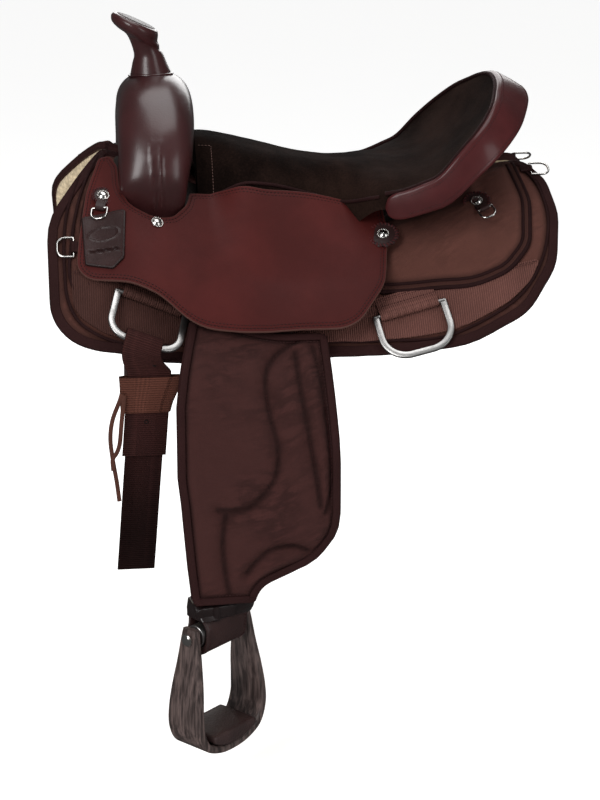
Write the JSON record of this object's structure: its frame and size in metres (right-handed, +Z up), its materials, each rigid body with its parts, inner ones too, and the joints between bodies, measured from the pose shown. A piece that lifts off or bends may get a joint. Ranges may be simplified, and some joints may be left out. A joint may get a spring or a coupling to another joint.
{
  "type": "western trail saddle",
  "caption": "Western trail saddle with horn, high cantle, layered skirts, rigging rings, hanging latigo and wide fenders that carry swinging stirrups.",
  "frame": {"origin": "on the centreline at mid length of the skirts, at the crest of the fleece's underside, where the saddle sits on the horse's back", "axes": "+Z up; -X to the horn and the horse's head, +X to the cantle; -Y is the horse's near (left) side, +Y the off side"},
  "size_m": [0.6542, 0.771, 0.8863],
  "materials": {
    "tree": "matte",
    "burgundy_leather": "glossy dark burgundy",
    "jockey_leather": "satin red-brown",
    "dark_leather": "satin black-brown",
    "suede": "rough suede",
    "cordura": "woven nylon",
    "webbing": "ribbed nylon webbing",
    "fleece": "wool fleece",
    "steel": "brushed",
    "wood": "dark stained"
  },
  "bodies": {
    "saddle": {"tree_fork": "tree", "tree_cantle": "dark_leather", "tree_bar_left": "tree", "tree_bar_right": "tree", "ground_seat": "tree", "horn_post": "steel", "swell_cover": "burgundy_leather", "horn_cover": "burgundy_leather", "seat": "suede", "cantle_back": "burgundy_leather", "jockey_left": "jockey_leather", "jockey_right": "jockey_leather", "skirt_left": "cordura", "skirt_right": "cordura", "skirt_fleece_left": "fleece", "skirt_fleece_right": "fleece", "rear_panel_left": "cordura", "rear_panel_right": "cordura", "rigging_web_left": "webbing", "rigging_web_right": "webbing", "fork_screw_left": "steel", "fork_screw_right": "steel", "cantle_rosette_left": "dark_leather", "cantle_rosette_right": "dark_leather", "front_rosette_left": "dark_leather", "front_rosette_right": "dark_leather", "rear_rosette_left": "dark_leather", "rear_rosette_right": "dark_leather", "latigo_keeper": "dark_leather"},
    "near_leg": {"fender_left": "cordura", "stirrup_leather_left": "dark_leather", "buckle_left": "steel", "roller_left": "steel", "hobble_strap_left": "burgundy_leather"},
    "near_stirrup": {"stirrup_frame_left": "wood", "tread_left": "dark_leather", "bolt_left": "steel"},
    "off_leg": {"fender_right": "cordura", "stirrup_leather_right": "dark_leather", "buckle_right": "steel", "roller_right": "steel", "hobble_strap_right": "burgundy_leather"},
    "off_stirrup": {"stirrup_frame_right": "wood", "tread_right": "dark_leather", "bolt_right": "steel"},
    "near_front_ring": {"front_ring_left": "steel"},
    "near_latigo": {"latigo": "webbing", "latigo_loop": "webbing"},
    "off_front_ring": {"front_ring_right": "steel"},
    "off_strap": {"off_billet": "dark_leather"},
    "near_rear_ring": {"rear_ring_left": "steel"},
    "off_rear_ring": {"rear_ring_right": "steel"},
    "near_front_dee": {"front_dee_left": "steel"},
    "off_front_dee": {"front_dee_right": "steel"},
    "near_breast_dee": {"breast_dee_left": "steel"},
    "off_breast_dee": {"breast_dee_right": "steel"},
    "near_rear_dee": {"rear_dee_left": "steel"},
    "off_rear_dee": {"rear_dee_right": "steel"},
    "near_back_dee": {"back_dee_left": "steel"},
    "off_back_dee": {"back_dee_right": "steel"}
  },
  "joints": [
    {"name": "near_leg_swing", "type": "hinge", "parent": "saddle", "child": "near_leg", "pos_m": [-0.062, -0.18436, -0.07296], "axis": [0, -0.866, 0.5], "range_deg": [-2, 20]},
    {"name": "off_leg_swing", "type": "hinge", "parent": "saddle", "child": "off_leg", "pos_m": [-0.062, 0.18436, -0.07296], "axis": [0, -0.866, -0.5], "range_deg": [-13, 15]},
    {"name": "near_stirrup_swing", "type": "hinge", "parent": "near_leg", "child": "near_stirrup", "pos_m": [-0.13999, -0.325, -0.45725], "axis": [0.7193, 0.6947, 0], "range_deg": [-60, 60]},
    {"name": "off_stirrup_swing", "type": "hinge", "parent": "off_leg", "child": "off_stirrup", "pos_m": [-0.062, 0.325, -0.47263], "axis": [0.7193, -0.6947, 0], "range_deg": [-60, 60]},
    {"name": "near_front_ring_swing", "type": "hinge", "parent": "saddle", "child": "near_front_ring", "pos_m": [-0.20614, -0.21982, -0.07184], "axis": [-0.9345, 0, 0.3559], "range_deg": [0, 15]},
    {"name": "off_front_ring_swing", "type": "hinge", "parent": "saddle", "child": "off_front_ring", "pos_m": [-0.20614, 0.21982, -0.07184], "axis": [0.9345, 0, -0.3559], "range_deg": [0, 15]},
    {"name": "latigo_swing", "type": "hinge", "parent": "near_front_ring", "child": "near_latigo", "pos_m": [-0.21982, -0.27037, -0.10775], "axis": [-0.9345, 0, 0.3559], "range_deg": [0, 40]},
    {"name": "off_strap_swing", "type": "hinge", "parent": "off_front_ring", "child": "off_strap", "pos_m": [-0.21982, 0.27037, -0.10775], "axis": [0.9345, 0, -0.3559], "range_deg": [0, 40]},
    {"name": "near_rear_ring_swing", "type": "hinge", "parent": "saddle", "child": "near_rear_ring", "pos_m": [0.11525, -0.19837, -0.09512], "axis": [-0.9723, 0, -0.2335], "range_deg": [0, 75]},
    {"name": "off_rear_ring_swing", "type": "hinge", "parent": "saddle", "child": "off_rear_ring", "pos_m": [0.11525, 0.19837, -0.09512], "axis": [0.9723, 0, 0.2335], "range_deg": [0, 75]},
    {"name": "near_front_dee_swing", "type": "hinge", "parent": "saddle", "child": "near_front_dee", "pos_m": [-0.26589, -0.142, 0.03105], "axis": [-0.9585, 0.2668, -0.1008], "range_deg": [0, 60]},
    {"name": "off_front_dee_swing", "type": "hinge", "parent": "saddle", "child": "off_front_dee", "pos_m": [-0.26589, 0.142, 0.03105], "axis": [0.9585, 0.2668, 0.1008], "range_deg": [0, 60]},
    {"name": "near_breast_dee_swing", "type": "hinge", "parent": "saddle", "child": "near_breast_dee", "pos_m": [-0.29947, -0.17487, -0.01097], "axis": [0.0105, 0.7186, 0.6954], "range_deg": [0, 60]},
    {"name": "off_breast_dee_swing", "type": "hinge", "parent": "saddle", "child": "off_breast_dee", "pos_m": [-0.29947, 0.17487, -0.01097], "axis": [-0.0105, 0.7186, -0.6954], "range_deg": [0, 60]},
    {"name": "near_rear_dee_swing", "type": "hinge", "parent": "saddle", "child": "near_rear_dee", "pos_m": [0.22162, -0.13195, 0.01822], "axis": [-0.9186, -0.1451, -0.3675], "range_deg": [0, 60]},
    {"name": "off_rear_dee_swing", "type": "hinge", "parent": "saddle", "child": "off_rear_dee", "pos_m": [0.22162, 0.13195, 0.01822], "axis": [0.9186, -0.1451, 0.3675], "range_deg": [0, 60]},
    {"name": "near_back_dee_swing", "type": "hinge", "parent": "saddle", "child": "near_back_dee", "pos_m": [0.29897, -0.05119, 0.0535], "axis": [0.0051, -0.8534, -0.5212], "range_deg": [0, 60]},
    {"name": "off_back_dee_swing", "type": "hinge", "parent": "saddle", "child": "off_back_dee", "pos_m": [0.29897, 0.05119, 0.0535], "axis": [-0.0051, -0.8534, 0.5212], "range_deg": [0, 60]}
  ]
}
